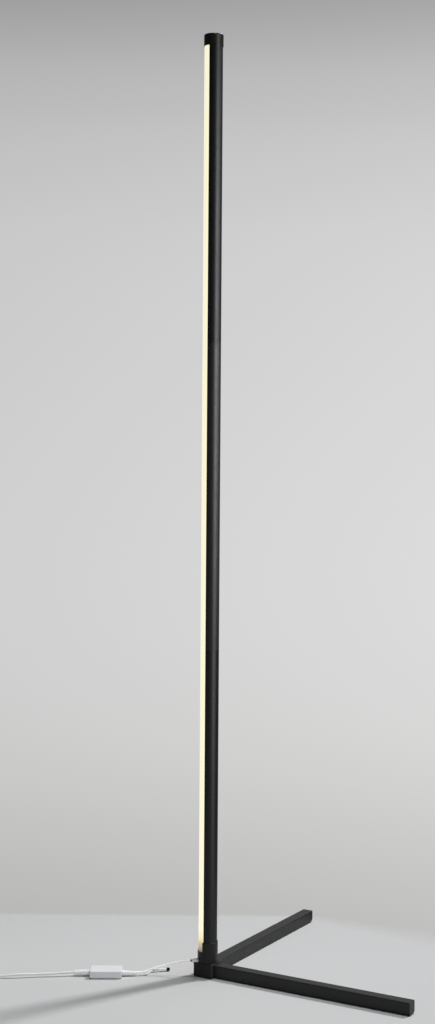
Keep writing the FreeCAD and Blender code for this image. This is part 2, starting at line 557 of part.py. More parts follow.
ro = Part.makeLoft([yz_round_rect(cx1, cy_axis, 4.8, 8.6, 7.4, 3.2),
                    yz_round_rect(relief_out_tip, cy_axis + relief_out_shift, 4.0, 5.4, 5.7, 2.4)], True, True)
for i in range(4):
    x = cx1 + 4.2 + 3.9 * i
    shrink = 0.4
    f = (x + 0.6 - cx1) / (relief_out_tip - cx1)
    wy, wz, zz = 8.6 + (5.4 - 8.6) * f, 7.4 + (5.7 - 7.4) * f, 4.8 + (4.0 - 4.8) * f
    yy = cy_axis + relief_out_shift * f
    outer = box(x, cy_axis - 6, -1, x + 1.2, cy_axis + 8, 10)
    core = prism_x(yy - wy / 2 + shrink, zz - wz / 2 + shrink, yy + wy / 2 - shrink, zz + wz / 2 - shrink, 3.2 - 0.8 * f - shrink, x - 0.1, x + 1.3)
    ro = ro.cut(outer.cut(core))
ro = ro.fuse(box(cx1 - w - 0.1, cy_axis - 3.3, out_z - 2.6, cx1 + 0.2, cy_axis + 3.3, out_z + 2.6))
ro = ro.fuse(box(cx1 - w - 1.65, cy_axis - 4.5, out_z - 2.5, cx1 - w - 0.05, cy_axis + 4.5, out_z + 3.4))
add("output_strain_relief", to_cord_frame(ro.removeSplitter()))

board = box(cx0 + w + 2.2, cy0 + w + 0.6, 2.6, cx1 - w - 2.2, cy1 - w - 0.6, 3.8)
for x in (cx0 + 6.0, cx1 - 6.0):
    for y in (cy0 + 5.0, cy1 - 5.0):
        board = board.cut(cyl(0.8, 2.0, 5.0, x, y))
add("controller_board", to_cord_frame(board))
comp = [box(-156.0, -7.0, 3.8, -149.5, -0.5, 5.2),
        box(-144.0, -12.0, 3.8, -140.0, -8.0, 5.6),
        box(-144.0, -5.5, 3.8, -140.0, -1.5, 5.6),
        box(-144.0, 1.0, 3.8, -140.0, 5.0, 5.6),
        box(-167.0, -14.0, 3.8, -162.0, -9.0, 6.4),
        cyl(2.4, 3.8, 7.8, -163.0, 4.5),
        box(-152.0, 4.0, 3.8, -148.8, 5.6, 5.0),
        box(-158.5, 6.0, 3.8, -155.0, 8.0, 4.8),
        box(-171.5, -5.2, 3.8, -168.5, -1.2, 5.4)]
comp = [q.translated(V(0, cy_axis + 3.2, 0)) for q in comp]
add("controller_components", to_cord_frame(group(comp)))

# ---------------------------------------------------------------- receiver of the remote control
rx0, ry0, rz = -82.6, 11.0, 2.75
receiver_turn = 15.0
body = box(0, -2.7, 0.0, 9.2, 2.7, 5.5)
body = fillet_where(body, 0.9, lambda e: e.Length > 5.0)
sleeve = cyl_dir(2.3, (9.2, 0, rz), (1, 0, 0), 11.4)
dome = cyl_dir(2.5, (20.6, 0, rz), (1, 0, 0), 3.3)
dome = dome.fuse(Part.makeSphere(2.5, V(23.9, 0, rz)).common(box(23.9, -5, -5, 30, 5, 10)))


def place_receiver(s):
    s = s.copy()
    s.rotate(V(0, 0, 0), V(0, 0, 1), receiver_turn)
    s.translate(V(rx0, ry0, 0))
    return to_cord_frame(s)


add("receiver_body", place_receiver(body))
add("receiver_sleeve", place_receiver(sleeve.cut(cyl_dir(1.25, (9.1, 0, rz), (1, 0, 0), 11.6))))
add("receiver_leads", place_receiver(group([cyl_dir(0.45, (9.2, dy, rz), (1, 0, 0), 11.4) for dy in (-0.75, 0.75)])))
add("receiver_dome", place_receiver(dome.removeSplitter()))


# ---------------------------------------------------------------- leads
def light_point(u, v, z):
    """A point of the pole's u, v frame, written in the cord frame."""
    aa = math.radians(light_angle - cord_frame_angle)
    return (u * math.cos(aa) - v * math.sin(aa), u * math.sin(aa) + v * math.cos(aa), z)


boot_tip = light_point(26.9, 0, zc)
print("boot tip in the cord frame", [round(q, 2) for q in boot_tip])
lamp_route = [lamp_exit, (-99.5, -4.6, 5.2), (-91.5, -3.6, 6.95), (-79.0, -2.5, 11.65), (-66.0, -2.4, 14.8),
              (-53.5, -3.8, 18.7), (-43.5, -6.0, 21.8), (-34.0, -7.6, 23.2), boot_tip]
lamp_tube = to_cord_frame(tube("lamp_lead", lamp_route, lamp_lead_dia))
add("lamp_lead", biggest(lamp_tube.cut(parts["lamp_lead_boot"]).cut(parts["output_strain_relief"])))
ir_route = [ir_exit, (-100.5, -6.8, 1.6), (-94.0, -5.6, 1.15), (-89.8, -1.4, 1.15), (-87.8, 6.2, 1.75), (rx0, ry0, rz)]
ir_tube = to_cord_frame(tube("receiver_lead", ir_route, ir_lead_dia))
add("receiver_lead", biggest(ir_tube.cut(parts["receiver_body"]).cut(parts["output_strain_relief"])))

# the put-away coil: ten turns in two layers of five, as one closed ring
cr0 = coil_turn_r_in - input_lead_dia / 2
cr1 = coil_turn_r_out + input_lead_dia / 2
coil_z1 = coil_z0 + 2 * input_lead_dia + 0.1
coil = cyl(cr1, coil_z0, coil_z1, coil_x, coil_y).cut(cyl(cr0, coil_z0 - 1, coil_z1 + 1, coil_x, coil_y))
input_route = [(relief_in_tip, -8.0, 5.2), (-211.0, -9.8, 5.25), (-225.0, -12.1, 4.65), (-242.0, -13.4, 4.05), (-262.0, -15.8, 4.4),
               (-281.0, -19.9, 5.1), (-296.0, -21.4, 4.2), (-310.0, -21.6, 2.6), (-327.0, -22.4, 2.0), (-346.5, -25.6, 2.3)]
it = biggest(tube("input_lead", input_route, input_lead_dia).cut(coil))
add("input_lead", biggest(to_cord_frame(it).cut(parts["input_strain_relief"])))
add("input_lead_coil", to_cord_frame(coil))

# plug (body, metal shell and contact tongue) beside the coil, and the lead's tail to it
plug_x, plug_y, plug_z = coil_x - 6.0, coil_y + 41.5, 3.9
tail_a = math.radians(70.0)
tail0 = (coil_x - coil_turn_r_out * math.sin(tail_a), coil_y - coil_turn_r_out * math.cos(tail_a), coil_z0 + 1.5 * input_lead_dia)
tail_route = [tail0, (coil_x - 32.6, coil_y + 5.5, 4.6), (coil_x - 34.6, coil_y + 20.5, 3.6), (coil_x - 28.5, coil_y + 33.5, 3.5),
              (coil_x - 16.5, coil_y + 40.6, 3.8), (plug_x, plug_y, plug_z)]
tt = biggest(tube("input_lead_tail", tail_route, input_lead_dia).cut(coil))
pr = cone_dir(2.4, 3.3, (plug_x, plug_y, plug_z), (1, 0, 0), 8.0)
pb2 = box(plug_x + 8.0, plug_y - 7.6, 0.0, plug_x + 25.0, plug_y + 7.6, 7.8)
pb2 = fillet_where(pb2, 1.6, lambda e: abs(e.BoundBox.XMax - e.BoundBox.XMin) > 10)
pr = pr.fuse(pb2)
add("input_plug_body", to_cord_frame(pr.removeSplitter()))
add("input_lead_tail", biggest(to_cord_frame(tt).cut(parts["input_plug_body"])))
sh = box(plug_x + 25.0, plug_y - 6.0, plug_z - 2.25, plug_x + 37.0, plug_y + 6.0, plug_z + 2.25)
sh = sh.cut(box(plug_x + 25.0, plug_y - 5.6, plug_z - 1.85, plug_x + 37.5, plug_y + 5.6, plug_z + 1.85))
for yy in (-3.2, 3.2):
    sh = sh.cut(box(plug_x + 29.5, plug_y + yy - 1.1, plug_z + 1.0, plug_x + 32.0, plug_y + yy + 1.1, plug_z + 3.0))
add("input_plug_shell", to_cord_frame(sh))
add("input_plug_tongue", to_cord_frame(box(plug_x + 25.0, plug_y - 5.55, plug_z - 1.8, plug_x + 36.4, plug_y + 5.55, plug_z - 0.05)))

# the tie: a thin band round the coil's section, on the side away from the lead
tb = box(coil_x + cr0 - 0.7, coil_y - 4.0, 0.0, coil_x + cr1 + 0.6, coil_y + 4.0, coil_z1 + 0.5)
tb = fillet_where(tb, 0.45, lambda e: abs(e.BoundBox.YMax - e.BoundBox.YMin) > 7)
tb = tb.cut(cyl(cr1, coil_z0, coil_z1, coil_x, coil_y).cut(cyl(cr0, coil_z0, coil_z1, coil_x, coil_y)))
tb = tb.cut(box(coil_x + cr0, coil_y - 5.0, coil_z0, coil_x + cr1 - 0.3, coil_y + 5.0, coil_z1))
add("coil_tie", to_cord_frame(tb))

# ---------------------------------------------------------------- write
os.makedirs("parts", exist_ok=True)
for name in sorted(parts):
    s = parts[name]
    bb = s.BoundBox
    ok = s.isValid()
    print("%-26s %3d solid(s) valid %s vol %10.1f  x %.1f %.1f  y %.1f %.1f  z %.1f %.1f" % (
        name, len(s.Solids), ok, s.Volume, bb.XMin, bb.XMax, bb.YMin, bb.YMax, bb.ZMin, bb.ZMax))
    s.exportStep("parts/%s.step" % name)
print(len(parts), "nodes")
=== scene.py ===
import math

import bpy
from mathutils import Matrix, Vector


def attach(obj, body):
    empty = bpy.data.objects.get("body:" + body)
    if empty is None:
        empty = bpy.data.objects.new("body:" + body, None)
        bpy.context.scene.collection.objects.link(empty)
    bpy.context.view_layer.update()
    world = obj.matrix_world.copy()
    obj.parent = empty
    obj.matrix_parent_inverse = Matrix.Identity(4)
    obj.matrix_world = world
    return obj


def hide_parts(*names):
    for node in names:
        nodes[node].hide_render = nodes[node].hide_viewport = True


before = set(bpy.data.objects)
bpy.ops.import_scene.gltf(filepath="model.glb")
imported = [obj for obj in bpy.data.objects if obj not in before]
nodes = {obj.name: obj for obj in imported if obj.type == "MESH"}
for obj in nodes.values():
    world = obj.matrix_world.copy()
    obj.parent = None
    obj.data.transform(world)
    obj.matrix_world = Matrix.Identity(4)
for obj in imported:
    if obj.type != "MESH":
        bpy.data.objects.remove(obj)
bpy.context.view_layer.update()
scene = bpy.context.scene

MM = 0.001


# ------------------------------------------------------------------ small helpers
def collection_link(obj):
    scene.collection.objects.link(obj)
    return obj


class Mat:
    """A material with one Principled shader, and short ways to feed it."""

    def __init__(self, name):
        self.m = bpy.data.materials.new(name)
        self.m.use_nodes = True
        self.nt = self.m.node_tree
        self.nt.nodes.clear()
        self.out = self.nt.nodes.new("ShaderNodeOutputMaterial")
        self.p = self.nt.nodes.new("ShaderNodeBsdfPrincipled")
        self.nt.links.new(self.p.outputs["BSDF"], self.out.inputs["Surface"])
        tc = self.nt.nodes.new("ShaderNodeTexCoord")
        self.obj = tc.outputs["Object"]
        self.normal_chain = None

    def const(self, **values):
        for k, v in values.items():
            s = self.p.inputs[k.replace("_", " ")]
            s.default_value = v
        return self

    def node(self, kind, **props):
        n = self.nt.nodes.new(kind)
        for k, v in props.items():
            setattr(n, k, v)
        return n

    def put(self, value, socket):
        if isinstance(value, bpy.types.NodeSocket):
            self.nt.links.new(value, socket)
        else:
            socket.default_value = value

    def math(self, op, a, b=None, c=None, clamp=False):
        n = self.node("ShaderNodeMath", operation=op, use_clamp=clamp)
        self.put(a, n.inputs[0])
        if b is not None:
            self.put(b, n.inputs[1])
        if c is not None:
            self.put(c, n.inputs[2])
        return n.outputs[0]

    def stretched(self, sx, sy, sz, src=None):
        n = self.node("ShaderNodeMapping")
        self.put(src or self.obj, n.inputs["Vector"])
        n.inputs["Scale"].default_value = (sx, sy, sz)
        return n.outputs[0]

    def noise(self, scale, detail=2.0, rough=0.5, vec=None, distortion=0.0):
        n = self.node("ShaderNodeTexNoise")
        self.put(vec or self.obj, n.inputs["Vector"])
        n.inputs["Scale"].default_value = scale
        n.inputs["Detail"].default_value = detail
        n.inputs["Roughness"].default_value = rough
        n.inputs["Distortion"].default_value = distortion
        return n.outputs["Fac"]

    def voronoi(self, scale, feature="F1", vec=None, randomness=1.0, out="Distance"):
        n = self.node("ShaderNodeTexVoronoi", feature=feature)
        self.put(vec or self.obj, n.inputs["Vector"])
        n.inputs["Scale"].default_value = scale
        n.inputs["Randomness"].default_value = randomness
        return n.outputs[out]

    def span(self, value, lo, hi, to_lo=0.0, to_hi=1.0, smooth=False):
        n = self.node("ShaderNodeMapRange")
        n.interpolation_type = "SMOOTHSTEP" if smooth else "LINEAR"
        n.clamp = True
        self.put(value, n.inputs["Value"])
        n.inputs["From Min"].default_value = lo
        n.inputs["From Max"].default_value = hi
        n.inputs["To Min"].default_value = to_lo
        n.inputs["To Max"].default_value = to_hi
        return n.outputs["Result"]

    def mix(self, fac, a, b):
        n = self.node("ShaderNodeMix", data_type="RGBA", blend_type="MIX")
        self.put(fac, n.inputs["Factor"])
        self.put(a if isinstance(a, bpy.types.NodeSocket) else (*a, 1.0), n.inputs["A"])
        self.put(b if isinstance(b, bpy.types.NodeSocket) else (*b, 1.0), n.inputs["B"])
        return n.outputs["Result"]

    def ramp(self, fac, stops, interpolation="LINEAR"):
        n = self.node("ShaderNodeValToRGB")
        n.color_ramp.interpolation = interpolation
        el = n.color_ramp.elements
        while len(el) > 1:
            el.remove(el[-1])
        el[0].position = stops[0][0]
        el[0].color = (*stops[0][1], 1.0)
        for pos, col in stops[1:]:
            e = el.new(pos)
            e.color = (*col, 1.0)
        self.put(fac, n.inputs["Fac"])
        return n.outputs["Color"]

    def xyz(self, src=None):
        n = self.node("ShaderNodeSeparateXYZ")
        self.put(src or self.obj, n.inputs[0])
        return n.outputs[0], n.outputs[1], n.outputs[2]

    def bump(self, height, strength, distance):
        n = self.node("ShaderNodeBump")
        n.inputs["Strength"].default_value = strength
        n.inputs["Distance"].default_value = distance
        self.put(height, n.inputs["Height"])
        if self.normal_chain is not None:
            self.put(self.normal_chain, n.inputs["Normal"])
        self.normal_chain = n.outputs["Normal"]
        self.put(self.normal_chain, self.p.inputs["Normal"])
        return self

    def colour(self, socket):
        self.put(socket, self.p.inputs["Base Color"])
        return self

    def rough(self, socket):
        self.put(socket, self.p.inputs["Roughness"])
        return self


def dress(material, *names):
    for name in names:
        o = nodes[name]
        if not o.material_slots:
            o.data.materials.append(material.m)
        for s in o.material_slots:
            s.material = material.m


# ------------------------------------------------------------------ camera
ROLL = math.radians(0.3896)
FORWARD = Vector((-0.50641, 0.86229, 0.0)).normalized()
RIGHT = Vector((FORWARD.y, -FORWARD.x, 0.0))
UP = Vector((0, 0, 1))
DIST = 2.39085
CAM_Z = 0.7676


def at(r, t, z):
    """A point from its place in the view: r to the right, t towards the camera, z above the floor, all from the pole."""
    return RIGHT * r - FORWARD * t + UP * z


cam_data = bpy.data.cameras.new("view_camera")
cam = collection_link(bpy.data.objects.new("view_camera", cam_data))
cx = RIGHT * math.cos(ROLL) + UP * math.sin(ROLL)
cy = -RIGHT * math.sin(ROLL) + UP * math.cos(ROLL)
cz = -FORWARD
cam.matrix_world = Matrix((
    (cx.x, cy.x, cz.x, 1.21076),
    (cx.y, cy.y, cz.y, -2.06161),
    (cx.z, cy.z, cz.z, CAM_Z),
    (0, 0, 0, 1),
))
cam_data.sensor_fit = "AUTO"
cam_data.sensor_width = 36.0
cam_data.lens = 55.750
cam_data.shift_x = 0.00635
cam_data.shift_y = -0.04516
cam_data.clip_start = 0.05
cam_data.clip_end = 60.0
scene.camera = cam


# ------------------------------------------------------------------ leads
CORD_ANGLE = math.radians(30.425)


def cf(p):
    """A point of the cord frame (millimetres, x to the view's right, y away from it) in metres."""
    x, y, z = p
    c, s = math.cos(CORD_ANGLE), math.sin(CORD_ANGLE)
    return Vector((x * c - y * s, x * s + y * c, z)) * MM


def lead(name, points, diameter, material, replaces, sides=10, per_point=6):
    cu = bpy.data.curves.new(name, "CURVE")
    cu.dimensions = "3D"
    cu.resolution_u = per_point
    cu.bevel_mode = "ROUND"
    cu.bevel_depth = diameter * MM / 2
    cu.bevel_resolution = sides
    cu.use_fill_caps = True
    sp = cu.splines.new("NURBS")
    sp.points.add(len(points) - 1)
    for q, p in zip(sp.points, points):
        w = cf(p)
        q.co = (w.x, w.y, w.z, 1.0)
    sp.order_u = 3
    sp.use_endpoint_u = True
    sp.resolution_u = per_point
    sp.use_smooth = True
    o = collection_link(bpy.data.objects.new(name, cu))
    cu.materials.append(material.m)
    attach(o, "root")
    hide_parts(*replaces)
    return o


# white PVC of the leads: soft sheen, faint handling marks
white_lead = Mat("white_lead_pvc")
w_noise = white_lead.noise(60.0, 4.0, 0.6)
w_fine = white_lead.noise(2200.0, 2.0, 0.5)
white_lead.colour(white_lead.mix(white_lead.span(w_noise, 0.35, 0.75), (0.92, 0.925, 0.93), (0.86, 0.865, 0.86)))
white_lead.rough(white_lead.span(white_lead.noise(300.0, 3.0, 0.6), 0.3, 0.7, 0.36, 0.50))
white_lead.bump(w_fine, 0.12, 0.0001)
white_lead.const(IOR=1.5)
white_lead.p.inputs["Subsurface Weight"].default_value = 0.70
white_lead.p.inputs["Subsurface Radius"].default_value = (1.0, 0.8, 0.6)
white_lead.p.inputs["Subsurface Scale"].default_value = 0.002

LAMP_TIP = (-26.03, -6.77, 23.35)
lamp_route = [(-107.2, -5.2, 5.0), (-99.5, -4.6, 5.2), (-91.5, -3.6, 6.95), (-79.0, -2.5, 11.65), (-66.0, -2.4, 14.8),
              (-53.5, -3.8, 18.7), (-43.5, -6.0, 21.8), (-34.0, -7.6, 23.2), LAMP_TIP]
lamp_lead = lead("lamp_lead_line", lamp_route, 2.4, white_lead, ["lamp_lead"])

ir_route = [(-107.2, -7.2, 2.5), (-100.5, -6.8, 1.6), (-94.0, -5.6, 1.15), (-89.8, -1.4, 1.15), (-87.8, 6.2, 1.75), (-82.6, 11.0, 2.75)]
receiver_lead = lead("receiver_lead_line", ir_route, 1.8, white_lead, ["receiver_lead"])

# the input lead: across the floor, ten turns of a put-away coil in two layers, and the tail to its plug
COIL_X, COIL_Y = -358.0, 2.0
TURNS = [28.8, 25.2, 21.6, 18.0, 14.4, 14.4, 18.0, 21.6, 25.2, 28.8]
PER_TURN = 18
SHRINK = (6 + 2 * math.cos(2 * math.pi / PER_TURN)) / 8      # a spline of order 3 runs inside its points


def smooth01(t):
    t = min(1.0, max(0.0, t))
    return t * t * (3 - 2 * t)


def coil_points():
    first, last = -11.5, 9 * 360.0 + 70.0
    step = 360.0 / PER_TURN
    n = int(round((last - first) / step))
    out = []
    for i in range(n + 1):
        psi = first + (last - first) * i / n
        turn = (psi - first) / 360.0
        k = int(turn)
        f = turn - k
        here, after = TURNS[min(k, 9)], TURNS[min(k + 1, 9)]
        # each turn keeps its radius and steps to the next one over its last quarter
        r = here + (after - here) * smooth01((f - 0.72) / 0.28)
        z = 2.3 if k < 4 else 5.9
        if k == 4:
            z = 2.3 + 3.6 * smooth01((f - 0.72) / 0.28)
        a = math.radians(psi)
        wobble = 0.0
        out.append((COIL_X - (r + wobble) / SHRINK * math.sin(a), COIL_Y - (r + wobble) / SHRINK * math.cos(a), z))
    return out


input_route = [(-200.5, -8.0, 5.2), (-211.0, -9.8, 5.25), (-225.0, -12.1, 4.65), (-242.0, -13.4, 4.05), (-262.0, -15.8, 4.4),
               (-281.0, -19.9, 5.1), (-296.0, -21.4, 4.2), (-310.0, -21.6, 2.6), (-327.0, -22.4, 2.0), (-344.0, -25.7, 2.25)]
tail_route = [(COIL_X - 32.6, COIL_Y + 5.5, 4.6), (COIL_X - 34.6, COIL_Y + 20.5, 3.6), (COIL_X - 28.5, COIL_Y + 33.5, 3.5),
              (COIL_X - 16.5, COIL_Y + 40.6, 3.8), (COIL_X - 6.0, COIL_Y + 41.5, 3.9)]
coil = coil_points()
input_lead = lead("input_lead_line", input_route + coil + tail_route, 3.6, white_lead,
                  ["input_lead", "input_lead_coil", "input_lead_tail"], sides=8, per_point=5)


def spline_length(o):
    bare = o.data.copy()
    bare.bevel_depth = 0.0
    tmp = bpy.data.objects.new("tmp", bare)
    me = bpy.data.meshes.new_from_object(tmp)
    co = [v.co.copy() for v in me.vertices]
    bpy.data.meshes.remove(me)
    bpy.data.objects.remove(tmp)
    bpy.data.curves.remove(bare)
    return sum((b - a).length for a, b in zip(co, co[1:]))


for o in (lamp_lead, receiver_lead, input_lead):
    print("length of", o.name, round(spline_length(o), 4))


# ------------------------------------------------------------------ materials
SECTION = 460.0
SEAMS = [31.5, 491.5, 951.5, 1411.5]


def anodised(name, tone, roughness, ior):
    m = Mat(name)
    # die lines run the whole length, so the pattern is squeezed across the pole and stretched along it
    lines = m.noise(1.0, 3.0, 0.6, vec=m.stretched(2600.0, 2600.0, 6.0))
    cloud = m.noise(14.0, 4.0, 0.55, vec=m.stretched(1.0, 1.0, 0.35))
    prints = m.noise(55.0, 5.0, 0.65, distortion=0.6)
    m.colour(m.mix(m.span(cloud, 0.3, 0.7), tuple(c * 0.88 for c in tone), tuple(c * 1.12 for c in tone)))
    base = m.span(prints, 0.42, 0.72, roughness - 0.015, roughness + 0.05)
    m.rough(m.math("ADD", base, m.span(lines, 0.3, 0.7, -0.02, 0.02)))
    m.bump(lines, 0.06, 0.00008)
    m.const(IOR=ior)
    return m


anod_upper = anodised("black_anodised_upper", (0.0050, 0.0050, 0.0056), 0.38, 1.36)
anod_middle = anodised("black_anodised_middle", (0.0085, 0.0085, 0.0088), 0.41, 1.41)
anod_lower = anodised("black_anodised_lower", (0.0028, 0.0028, 0.0028), 0.42, 1.375)
dress(anod_upper, "upper_pole_section")
dress(anod_middle, "middle_pole_section")
dress(anod_lower, "lower_pole_section")

# milky light strip: glows warm, a little yellower near its edges, and fades below the last chips
dif = Mat("milky_diffuser_glow")
dx, dy, dz = dif.xyz()
LX, LY = math.cos(math.radians(225)), math.sin(math.radians(225))
across = dif.math("MULTIPLY_ADD", dx, -LY, dif.math("MULTIPLY", dy, LX))       # along the strip's width, metres
edge = dif.span(dif.math("ABSOLUTE", across), 0.0045, 0.0105, smooth=True)
glow = dif.mix(edge, (0.97, 0.925, 0.71), (1.0, 0.963, 0.63))
fade = dif.ramp(dif.span(dz, 0.030, 0.075), [
    (0.00, (0.07, 0.063, 0.056)), (0.14, (0.15, 0.134, 0.122)), (0.21, (0.23, 0.205, 0.185)), (0.275, (0.335, 0.30, 0.26)),
    (0.342, (0.44, 0.395, 0.325)), (0.41, (0.52, 0.46, 0.36)), (0.476, (0.67, 0.585, 0.44)), (0.542, (0.83, 0.735, 0.56)),
    (0.642, (0.93, 0.86, 0.72)), (0.78, (0.985, 0.95, 0.89)), (0.92, (1.0, 1.0, 1.0))])
mult = dif.node("ShaderNodeMix", data_type="RGBA", blend_type="MULTIPLY")
mult.inputs["Factor"].default_value = 1.0
dif.put(glow, mult.inputs["A"])
dif.put(fade, mult.inputs["B"])
dif.put(mult.outputs["Result"], dif.p.inputs["Emission Color"])
dif.p.inputs["Emission Strength"].default_value = 0.93
dif.colour(dif.mix(dif.noise(40.0, 3.0), (0.20, 0.195, 0.18), (0.22, 0.215, 0.20)))
dif.rough(dif.span(dif.noise(500.0, 3.0), 0.3, 0.7, 0.40, 0.48))
dif.bump(dif.noise(1.0, 2.0, 0.5, vec=dif.stretched(2400.0, 2400.0, 8.0)), 0.04, 0.00005)
dif.const(IOR=1.5)
dress(dif, "diffuser")


def plastic(name, tone, roughness, grain=1500.0, depth=0.00012, strength=0.25, ior=1.48, spread=0.04, marks=0.1):
    m = Mat(name)
    g1 = m.voronoi(grain, "F1")
    g2 = m.noise(grain * 1.7, 3.0, 0.6)
    cloud = m.noise(35.0, 4.0, 0.6)
    m.colour(m.mix(m.span(cloud, 0.3, 0.7), tuple(c * (1 - marks) for c in tone), tuple(c * (1 + marks) for c in tone)))
    m.rough(m.span(m.noise(180.0, 4.0, 0.6), 0.3, 0.7, roughness - spread, roughness + spread))
    m.bump(m.math("ADD", g1, g2), strength, depth)
    m.const(IOR=ior)
    return m


cap_plastic = plastic("black_cap_plastic", (0.0078, 0.0074, 0.0078), 0.33, ior=1.37)
dress(cap_plastic, "top_cap")
collar_plastic = plastic("black_collar_plastic", (0.0065, 0.0065, 0.0065), 0.42, ior=1.38)
dress(collar_plastic, "base_collar")
cover_plastic = plastic("black_cover_plastic", (0.013, 0.013, 0.013), 0.5)
dress(cover_plastic, "hub_bottom_cover")


def powder(name, tone, roughness, ior=1.5):
    """Fine powder coat: small close bumps with a few larger ones, a little duller where it is handled."""
    m = Mat(name)
    peel = m.noise(950.0, 2.0, 0.45)
    fine = m.voronoi(2600.0, "SMOOTH_F1")
    cloud = m.noise(22.0, 4.0, 0.6)
    dust = m.noise(420.0, 6.0, 0.75)
    tone_hi = tuple(c * 1.22 for c in tone)
    body = m.mix(m.span(cloud, 0.3, 0.7), tone, tone_hi)
    m.colour(m.mix(m.span(dust, 0.66, 0.80, 0.0, 0.20), body, (0.10, 0.10, 0.10)))
    m.rough(m.span(m.noise(90.0, 4.0, 0.6), 0.3, 0.7, roughness - 0.04, roughness + 0.05))
    m.bump(peel, 0.35, 0.00012)
    m.bump(fine, 0.16, 0.00006)
    m.const(IOR=ior)
    return m


coated = powder("black_powder_coat", (0.0095, 0.0097, 0.0094), 0.46, 1.44)
dress(coated, "front_leg_tube", "rear_leg_tube")
hub_coat = powder("black_powder_coat_hub", (0.0080, 0.0081, 0.0080), 0.46, 1.40)
dress(hub_coat, "hub_block")

end_plastic = plastic("grey_black_end_plastic", (0.012, 0.0145, 0.0145), 0.5, grain=1200.0, ior=1.40)
dress(end_plastic, "front_leg_end_cap", "rear_leg_end_cap")

rubber = plastic("black_foot_rubber", (0.018, 0.018, 0.018), 0.75, grain=900.0, strength=0.4)
dress(rubber, "hub_foot_pad", "leg_foot_pads")


def metal(name, tone, roughness, brushed=(1.0, 1.0, 1.0), metallic=1.0):
    m = Mat(name)
    br = m.noise(1.0, 3.0, 0.6, vec=m.stretched(*[1800.0 * b for b in brushed]))
    cloud = m.noise(120.0, 4.0, 0.6)
    m.colour(m.mix(m.span(cloud, 0.3, 0.7), tuple(c * 0.85 for c in tone), tone))
    m.rough(m.span(br, 0.3, 0.7, roughness - 0.07, roughness + 0.07))
    m.bump(br, 0.08, 0.00005)
    m.const(Metallic=metallic)
    return m


alu = metal("bare_aluminium_mill", (0.78, 0.78, 0.79), 0.34, brushed=(1.0, 1.0, 0.02))
dress(alu, "lower_splice", "upper_splice", "pole_foot_plug", "front_leg_insert", "rear_leg_insert")
black_oxide = metal("black_oxide_steel", (0.045, 0.045, 0.05), 0.36)
dress(black_oxide, "pole_set_screws", "top_cap_screws", "hub_cover_screws", "leg_lock_screws")
zinc = metal("zinc_plated_steel", (0.72, 0.73, 0.74), 0.28)
dress(zinc, "pole_bolt", "pole_bolt_washer", "leg_screws")
nickel = metal("nickel_plug_shell", (0.76, 0.755, 0.74), 0.22, brushed=(0.3, 1.0, 1.0))
dress(nickel, "input_plug_shell")

white_shell = plastic("white_controller_plastic", (0.755, 0.765, 0.79), 0.38, grain=1900.0, depth=0.00006, strength=0.18, marks=0.015)
dress(white_shell, "controller_upper_shell", "controller_lower_shell", "receiver_body")
soft_white = plastic("white_soft_pvc", (0.86, 0.865, 0.87), 0.46, grain=1500.0, depth=0.00006, strength=0.15, marks=0.02)
soft_white.p.inputs["Subsurface Weight"].default_value = 0.65
soft_white.p.inputs["Subsurface Radius"].default_value = (1.0, 0.9, 0.8)
soft_white.p.inputs["Subsurface Scale"].default_value = 0.0025
dress(soft_white, "input_strain_relief", "output_strain_relief", "input_plug_body")

strip_white = plastic("strip_board_mask", (0.78, 0.78, 0.76), 0.4, grain=700.0, strength=0.1, marks=0.03)
dress(strip_white, "led_strip_board")
board_green = plastic("controller_board_mask", (0.02, 0.11, 0.045), 0.3, grain=700.0, strength=0.1, marks=0.15)
dress(board_green, "controller_board")
comp_black = plastic("component_epoxy", (0.02, 0.02, 0.021), 0.4, grain=1500.0, strength=0.2)
dress(comp_black, "controller_components")

phosphor = Mat("led_phosphor_glow")
phosphor.colour(phosphor.mix(phosphor.voronoi(3000.0), (0.85, 0.62, 0.12), (0.92, 0.72, 0.20)))
phosphor.rough(phosphor.span(phosphor.noise(600.0), 0.3, 0.7, 0.35, 0.5))
phosphor.p.inputs["Emission Color"].default_value = (1.0, 0.93, 0.62, 1.0)
phosphor.p.inputs["Emission Strength"].default_value = 2.0
dress(phosphor, "led_chips")

connector = plastic("connector_nylon", (0.74, 0.69, 0.61), 0.42, grain=1800.0, depth=0.00005, strength=0.12, marks=0.05)
dress(connector, "outlet_socket", "lamp_lead_plug")
boot_dark = plastic("connector_boot_rubber", (0.03, 0.03, 0.032), 0.5, grain=1500.0, strength=0.2)
dress(boot_dark, "lamp_lead_boot")
tie_mat = plastic("black_tie_nylon", (0.015, 0.015, 0.016), 0.42, grain=1200.0, strength=0.15)
dress(tie_mat, "coil_tie")
tongue = plastic("plug_tongue_plastic", (0.72, 0.72, 0.70), 0.38, grain=1800.0, depth=0.00005, strength=0.1, marks=0.03)
dress(tongue, "input_plug_tongue")

wires = Mat("wire_insulation_pvc")
wires.colour(wires.mix(wires.span(wires.noise(80.0, 3.0), 0.3, 0.7), (0.62, 0.60, 0.56), (0.72, 0.71, 0.68)))
wires.rough(wires.span(wires.noise(500.0, 2.0), 0.3, 0.7, 0.35, 0.48))
dress(wires, "strip_wires", "receiver_leads")

sleeve = Mat("clear_shrink_sleeve")
sleeve.colour(sleeve.mix(sleeve.span(sleeve.noise(300.0, 3.0), 0.3, 0.7), (0.88, 0.885, 0.89), (0.94, 0.945, 0.95)))
sleeve.rough(sleeve.span(sleeve.noise(700.0, 3.0), 0.3, 0.7, 0.10, 0.22))
sleeve.p.inputs["Transmission Weight"].default_value = 0.06
sleeve.const(IOR=1.4)
sleeve.bump(sleeve.noise(500.0, 2.0), 0.2, 0.0001)
dress(sleeve, "receiver_sleeve")

